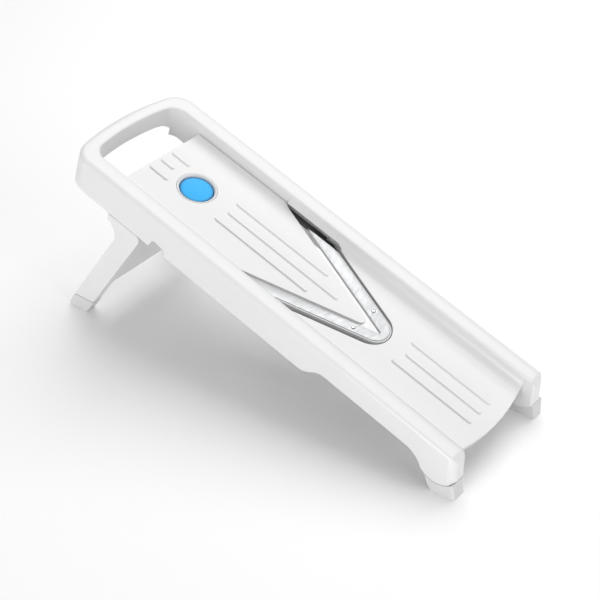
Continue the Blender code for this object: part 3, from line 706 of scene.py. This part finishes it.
@dataclass(frozen=True)
class FastenerSet:
    """Like fasteners of one body, whose heads face away from the deck's normal or along it."""

    name: str
    nodes: tuple[str, ...]
    body: Body
    kind: HeadKind
    head_radius: float = 2.5 * MM
    head_height: float = 1.4 * MM
    shank_radius: float = 1.1 * MM

    def build(self, slope: Slope, finish: bpy.types.Material) -> bpy.types.Object:
        """Make all the fasteners of the set as one piece.

        Args:
            slope: the deck's axes.
            finish: the fasteners' material.

        Returns:
            The piece.
        """
        boxes = [slope.box_of(node) for node in self.nodes]
        length = boxes[0].size.z - self.head_height
        upside = self.kind is HeadKind.DOMED
        places = []
        for box in boxes:
            seat = box.high.z - self.head_height if upside else box.low.z + self.head_height
            places.append(slope.to_world(Vector((box.middle.x, box.middle.y, seat))))
        tree = RepeatTree(self.name)
        tree.ask("Head Radius", self.head_radius)
        tree.ask("Head Height", self.head_height)
        tree.ask("Shank Radius", self.shank_radius)
        tree.ask("Shank Length", length)
        turn = math.pi if upside else 0.0
        tree.ask("Lean", (0.0, slope.lean + turn, 0.0), "NodeSocketVector")
        tree.ask("Finish", finish, "NodeSocketMaterial")
        shape = self.shape(tree)
        spread = tree.add("GeometryNodeInstanceOnPoints", None,
                          {"Points": tree.given("Places"), "Instance": shape,
                           "Rotation": tree.given("Lean")})
        tree.end(spread.outputs["Instances"])
        piece = tree.run(self.name, places)
        smooth_by_angle(piece)
        return finish_piece(piece, finish, self.body, list(self.nodes))

    def shape(self, tree: RepeatTree) -> bpy.types.NodeSocket:
        """Nodes for one fastener: its head below the seat and its shank above.

        Args:
            tree: tree that gets the nodes.

        Returns:
            Output that holds the fastener's mesh.
        """
        half_length = tree.add("ShaderNodeMath", {1: 0.5}, {0: tree.given("Shank Length")},
                               operation="MULTIPLY")
        up = tree.add("ShaderNodeCombineXYZ", None, {"Z": half_length.outputs[0]})
        shank = tree.add("GeometryNodeMeshCylinder", {"Vertices": 20},
                         {"Radius": tree.given("Shank Radius"),
                          "Depth": tree.given("Shank Length")})
        shank = tree.add("GeometryNodeTransform", None,
                         {"Geometry": shank.outputs["Mesh"], "Translation": up.outputs[0]})
        ball = tree.add("GeometryNodeMeshUVSphere",
                        {"Segments": 32, "Rings": 16, "Radius": 1.0})
        girth = tree.add("ShaderNodeCombineXYZ", None,
                         {"X": tree.given("Head Radius"), "Y": tree.given("Head Radius"),
                          "Z": tree.given("Head Height")})
        ball = tree.add("GeometryNodeTransform", None,
                        {"Geometry": ball.outputs["Mesh"], "Scale": girth.outputs[0]})
        above = tree.add("GeometryNodeMeshCube", {"Size": (0.02, 0.02, 0.01)})
        above = tree.add("GeometryNodeTransform", {"Translation": (0.0, 0.0, 0.005)},
                         {"Geometry": above.outputs["Mesh"]})
        head = tree.add("GeometryNodeMeshBoolean", None,
                        {0: ball.outputs[0], 1: above.outputs[0]}, operation="DIFFERENCE",
                        solver="EXACT")
        whole = tree.add("GeometryNodeMeshBoolean", None, {1: head.outputs[0]},
                         operation="UNION", solver="EXACT")
        tree.tree.links.new(shank.outputs[0], whole.inputs[1])
        if self.kind is HeadKind.DOMED:
            return whole.outputs[0]
        depth = self.head_height * 0.6
        wing = (self.head_radius * 1.1, self.head_radius * 0.26, depth * 2)
        cut = tree.add("GeometryNodeMeshBoolean", None, {0: whole.outputs[0]},
                       operation="DIFFERENCE", solver="EXACT")
        for size in (wing, (wing[1], wing[0], wing[2])):
            slab = tree.add("GeometryNodeMeshCube", {"Size": size})
            slab = tree.add("GeometryNodeTransform",
                            {"Translation": (0.0, 0.0, -self.head_height)},
                            {"Geometry": slab.outputs["Mesh"]})
            tree.tree.links.new(slab.outputs[0], cut.inputs[1])
        return cut.outputs[0]


def smooth_by_angle(piece: bpy.types.Object, degrees: float = 40.0) -> None:
    """Shade a piece smooth, with edges above an angle kept sharp.

    Args:
        piece: mesh object.
        degrees: angle above which an edge stays sharp.
    """
    piece.data.shade_smooth()
    piece.data.set_sharp_from_angle(angle=math.radians(degrees))


@dataclass(frozen=True)
class ReturnSpring:
    """Coil spring under the button, wound from round wire along a helix."""

    turns: float = 3.0
    wire_radius: float = 0.35 * MM
    press_travel: float = 2.5 * MM

    def build(self, slope: Slope, finish: bpy.types.Material) -> bpy.types.Object:
        """Wind the spring in its node's space.

        Args:
            slope: the deck's axes.
            finish: the wire's material.

        Returns:
            The spring.
        """
        box = slope.box_of("button_spring")
        radius = box.size.y / 2 - self.wire_radius
        tree = RepeatTree("coil_spring")
        tree.ask("Turns", self.turns)
        tree.ask("Coil Radius", radius)
        tree.ask("Height", box.size.z - 2 * self.wire_radius)
        tree.ask("Wire Radius", self.wire_radius)
        tree.ask("Lean", (0.0, slope.lean, 0.0), "NodeSocketVector")
        tree.ask("Finish", finish, "NodeSocketMaterial")
        helix = tree.add("GeometryNodeCurveSpiral", {"Resolution": 40},
                         {"Rotations": tree.given("Turns"),
                          "Start Radius": tree.given("Coil Radius"),
                          "End Radius": tree.given("Coil Radius"),
                          "Height": tree.given("Height")})
        wire = tree.add("GeometryNodeCurvePrimitiveCircle", {"Resolution": 12},
                        {"Radius": tree.given("Wire Radius")})
        coil = tree.add("GeometryNodeCurveToMesh", {"Fill Caps": True},
                        {"Curve": helix.outputs[0], "Profile Curve": wire.outputs[0]})
        spread = tree.add("GeometryNodeInstanceOnPoints", None,
                          {"Points": tree.given("Places"), "Instance": coil.outputs[0],
                           "Rotation": tree.given("Lean")})
        tree.end(spread.outputs["Instances"])
        axis = slope.box_of("release_button").middle
        foot = slope.to_world(Vector((axis.x, axis.y, box.low.z + self.wire_radius)))
        piece = tree.run("return_spring", [foot])
        smooth_by_angle(piece)
        finish_piece(piece, finish, Body.RUNWAY, ["button_spring"])
        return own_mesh(piece)


# ---------------------------------------------------------------- sub-assemblies

@dataclass(frozen=True)
class Shell:
    """One moulded or cut piece that keeps its node's shape and gets rounded edges."""

    name: str
    node: str
    edge_radius: float

    def build(self, slope: Slope, material: bpy.types.Material, slot: Slot,
              body: Body) -> bpy.types.Object:
        """Make the piece.

        Args:
            slope: the deck's axes, which also hold the nodes.
            material: the piece's material.
            slot: the record's slot; not used.
            body: the body that it rides on.

        Returns:
            The finished piece.
        """
        piece = merged_copy(slope.nodes[self.node], self.name)
        round_edges(piece, self.edge_radius)
        return finish_piece(piece, material, body, [self.node])


@dataclass
class RailFrame:
    """The white moulding with the rails, the handle loop and the output deck, and its feet."""

    shell_radius: float = 0.40 * MM
    pad_radius: float = 0.2 * MM

    def build(self, slope: Slope, finishes: Finishes) -> None:
        """Make the frame and its two soft shoes."""
        Shell("rail_and_deck_moulding", "body_frame", self.shell_radius).build(
            slope, finishes.white, Slot.WHITE, Body.FRAME)
        for side in ("near", "far"):
            node = "front_foot_pad_" + side
            Shell("front_shoe_" + side, node, self.pad_radius).build(
                slope, finishes.grey, Slot.RUBBER, Body.FRAME)


@dataclass
class BladeUnit:
    """The V blade on its carrier, the dark tray below them and their fasteners."""

    plate_radius: float = 0.10 * MM
    carrier_radius: float = 0.12 * MM
    tray_radius: float = 0.30 * MM
    rivet_radius: float = 1.7 * MM
    rivet_height: float = 0.5 * MM

    def build(self, slope: Slope, finishes: Finishes) -> None:
        """Make the blade, the carrier, the tray, the rivets and the screws."""
        Shell("ground_v_plate", "v_blade", self.plate_radius).build(
            slope, finishes.blade, Slot.STEEL, Body.FRAME)
        # the carrier's pale grey is painted shade for its walls in the slot beside the blade
        Shell("v_carrier", "blade_carrier", self.carrier_radius).build(
            slope, finishes.carrier, Slot.WHITE, Body.FRAME)
        # the tray's charcoal is partly painted shade, standing in for the shade down in the slits
        # around the V
        Shell("under_tray", "blade_tray", self.tray_radius).build(
            slope, finishes.black, Slot.BLACK, Body.FRAME)
        FastenerSet("blade_rivets", ("blade_rivet_1", "blade_rivet_2"), Body.FRAME,
                    HeadKind.DOMED, self.rivet_radius, self.rivet_height).build(
                        slope, finishes.hardware)
        FastenerSet("tray_screws", tuple("tray_screw_%d" % i for i in range(1, 7)), Body.FRAME,
                    HeadKind.CROSS_RECESS).build(slope, finishes.hardware)


@dataclass
class Runway:
    """The sliding plate, the button's ring and the cup and screws under it."""

    plate_radius: float = 0.40 * MM

    def build(self, slope: Slope, finishes: Finishes) -> None:
        """Make the plate, the ring, the cup, the spring and the screws."""
        Shell("sliding_plate", "runway_plate", self.plate_radius).build(
            slope, finishes.white, Slot.WHITE, Body.RUNWAY)
        self.build_ring(slope, finishes)
        Shell("guide_cup", "spring_cup", self.plate_radius).build(
            slope, finishes.black, Slot.BLACK, Body.RUNWAY)
        ReturnSpring().build(slope, finishes.hardware)
        FastenerSet("cup_screws", ("cup_screw_1", "cup_screw_2", "cup_screw_3"), Body.RUNWAY,
                    HeadKind.CROSS_RECESS).build(slope, finishes.hardware)

    def build_ring(self, slope: Slope, finishes: Finishes) -> None:
        """Turn the ring whose sloping inner face leads down to the button."""
        box = slope.box_of("button_bezel")
        top, bottom = box.high.z, box.low.z
        flange = box.size.y / 2
        outer = flange - 2.3 * MM
        bore = slope.box_of("release_button").size.y / 2 + 0.5 * MM
        shoulder = top - 3.5 * MM
        profile = [(outer, top - 0.25 * MM), (outer - 0.15 * MM, top - 0.05 * MM),
                   (outer - 0.5 * MM, top), (outer - 0.9 * MM, top - 0.15 * MM),
                   (bore + 0.4 * MM, top - 1.0 * MM), (bore, top - 1.5 * MM), (bore, bottom),
                   (flange, bottom), (flange, shoulder), (outer, shoulder)]
        ring = turned("button_ring", profile, slope, slope.box_of("release_button").middle,
                      closed=True)
        smooth_by_angle(ring)
        finish_piece(ring, finishes.white, Body.RUNWAY, ["button_bezel"])


@dataclass
class ReleaseButton:
    """The blue button and the brake foot that it pushes off the strip."""

    crown: float = 0.9 * MM
    edge_radius: float = 0.8 * MM
    edge_sweep: float = math.radians(84)
    edge_steps: int = 8
    crown_steps: int = 10
    shoe_radius: float = 0.3 * MM

    def build(self, slope: Slope, finishes: Finishes) -> None:
        """Make the button, the foot and its screw."""
        self.build_button(slope, finishes)
        Shell("brake_shoe", "brake_foot", self.shoe_radius).build(
            slope, finishes.grey, Slot.RUBBER, Body.BUTTON)
        FastenerSet("brake_foot_screw", ("brake_screw",), Body.BUTTON,
                    HeadKind.CROSS_RECESS).build(slope, finishes.hardware)

    def build_button(self, slope: Slope, finishes: Finishes) -> None:
        """Turn the button: a rounded rim, a shallow crown and a plain stem."""
        box = slope.box_of("release_button")
        radius = box.size.y / 2
        top = box.high.z
        rim = top - self.crown
        cap_bottom = top - 4.6 * MM
        stem = 2.8 * MM
        bore = 1.4 * MM
        bore_depth = 6.0 * MM
        profile = [(0.2 * MM, box.low.z + bore_depth), (bore, box.low.z + bore_depth),
                   (bore, box.low.z), (stem, box.low.z), (stem, cap_bottom),
                   (radius - 0.6 * MM, cap_bottom), (radius, cap_bottom + 0.6 * MM)]
        centre = (radius - self.edge_radius, rim - self.edge_radius)
        for step in range(self.edge_steps + 1):
            angle = self.edge_sweep * step / self.edge_steps
            profile.append((centre[0] + self.edge_radius * math.cos(angle),
                            centre[1] + self.edge_radius * math.sin(angle)))
        flat = profile[-1]
        pole = 0.2 * MM
        for step in range(1, self.crown_steps + 1):
            share = step / self.crown_steps
            profile.append((flat[0] * (1 - share) + pole * share,
                            flat[1] + (top - flat[1]) * math.sin(share * math.pi / 2)))
        button = turned("push_button", profile, slope, box.middle, closed=False)
        smooth_by_angle(button)
        finish_piece(button, finishes.blue, Body.BUTTON, ["release_button"])


@dataclass
class RearStand:
    """The fold-out stand, its soft shoes, its pins and the brake strip above it."""

    leg_radius: float = 0.7 * MM
    pad_radius: float = 0.5 * MM
    pin_radius: float = 0.25 * MM

    def build(self, slope: Slope, finishes: Finishes) -> None:
        """Make the stand, the shoes, the pins, the strip and its screws."""
        Shell("fold_out_stand", "stand_frame", self.leg_radius).build(
            slope, finishes.white, Slot.WHITE, Body.STAND)
        for side in ("near", "far"):
            Shell("stand_shoe_" + side, "stand_foot_pad_" + side, self.pad_radius).build(
                slope, finishes.grey, Slot.RUBBER, Body.STAND)
            Shell("hinge_pin_" + side, "stand_pin_" + side, self.pin_radius).build(
                slope, finishes.hardware, Slot.STEEL, Body.FRAME)
        Shell("slotted_brake_strip", "brake_strip", self.pin_radius).build(
            slope, finishes.hardware, Slot.STEEL, Body.FRAME)
        FastenerSet("strip_screws", tuple("strip_screw_%d" % i for i in range(1, 5)),
                    Body.FRAME, HeadKind.CROSS_RECESS).build(slope, finishes.hardware)


# ---------------------------------------------------------------- studio

@dataclass
class Studio:
    """A pale floor, soft lights and the camera."""

    floor_reach: float = 4.0
    azimuth: float = math.radians(38.01)
    elevation: float = math.radians(36.28)
    distance: float = 1.122
    lens: float = 83.5
    sensor: float = 36.0
    room_strength: float = 0.44

    def build(self) -> None:
        """Make the floor, the lights, the surroundings and the camera."""
        self.build_floor()
        self.build_surroundings()
        low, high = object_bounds()
        middle = (Vector(low) + Vector(high)) / 2
        self.add_light("overhead_softbox", Vector((-0.10, 0.75, 1.50)), middle,
                       size=1.6, power=20.0)
        self.add_light("low_near_fill", Vector((0.30, -2.20, 0.30)), middle,
                       size=0.8, power=22.5)
        self.add_light("front_fill", Vector((2.00, -0.20, 0.70)), middle,
                       size=1.0, power=8.5)
        self.build_camera(middle)
        bpy.context.scene.view_settings.view_transform = "Standard"

    def build_floor(self) -> None:
        """Make the floor, a wide sheet with the faintest tooth."""
        reach = self.floor_reach
        mesh = bpy.data.meshes.new("floor")
        corners = [(-reach, -reach, 0.0), (reach, -reach, 0.0), (reach, reach, 0.0),
                   (-reach, reach, 0.0)]
        mesh.from_pydata(corners, [], [(0, 1, 2, 3)])
        floor = link_piece("floor", mesh)
        # matte paper sweep: a plain white with a hardly visible fibre
        paper = MouldedPlastic("white_paper_sweep", "FDFDFD", "FBFBFC", roughness=0.80,
                               scuffed_roughness=0.90, ior=1.45, grain_mm=1.5,
                               grain_depth_mm=0.01, cloud_mm=400.0)
        mesh.materials.append(paper.build())
        floor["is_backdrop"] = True

    def build_surroundings(self) -> None:
        """Surround the set with an even white."""
        world = bpy.data.worlds.new("white_room")
        world.use_nodes = True
        background = world.node_tree.nodes["Background"]
        background.inputs["Color"].default_value = linear("FFFFFF")
        background.inputs["Strength"].default_value = self.room_strength
        bpy.context.scene.world = world

    def add_light(self, name: str, place: Vector, target: Vector, size: float,
                  power: float) -> None:
        """Add a square area light that looks at a point.

        Args:
            name: name of the light.
            place: where it hangs.
            target: what it looks at.
            size: length of its side.
            power: its power in watts.
        """
        data = bpy.data.lights.new(name, "AREA")
        data.size = size
        data.energy = power
        light = bpy.data.objects.new(name, data)
        light.location = place
        light.rotation_euler = (target - place).to_track_quat("-Z", "Y").to_euler()
        bpy.context.scene.collection.objects.link(light)

    def build_camera(self, middle: Vector) -> None:
        """Set the camera at its angle, aimed a little below and before the middle.

        Args:
            middle: centre of the object's box.
        """
        aim_shift = Vector((0.0060, 0.0, -0.0226))
        target = middle + aim_shift
        away = Vector((math.sin(self.azimuth) * math.cos(self.elevation),
                       -math.cos(self.azimuth) * math.cos(self.elevation),
                       math.sin(self.elevation)))
        data = bpy.data.cameras.new("camera")
        data.lens = self.lens
        data.sensor_width = self.sensor
        camera = bpy.data.objects.new("camera", data)
        camera.location = target + away * self.distance
        camera.rotation_euler = (-away).to_track_quat("-Z", "Y").to_euler()
        bpy.context.scene.collection.objects.link(camera)
        bpy.context.scene.camera = camera


def main() -> None:
    """Build every sub-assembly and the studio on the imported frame."""
    logging.basicConfig(level=logging.INFO, format="%(name)s: %(message)s")
    for thing in list(bpy.data.objects):
        bpy.data.objects.remove(thing, do_unlink=True)
    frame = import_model()
    slope = Slope(frame)
    finishes = make_finishes(slope)
    for part in (RailFrame(), BladeUnit(), Runway(), ReleaseButton(), RearStand()):
        part.build(slope, finishes)
        LOG.info("%s is built", type(part).__name__)
    Studio().build()


if __name__ == "__main__":
    main()
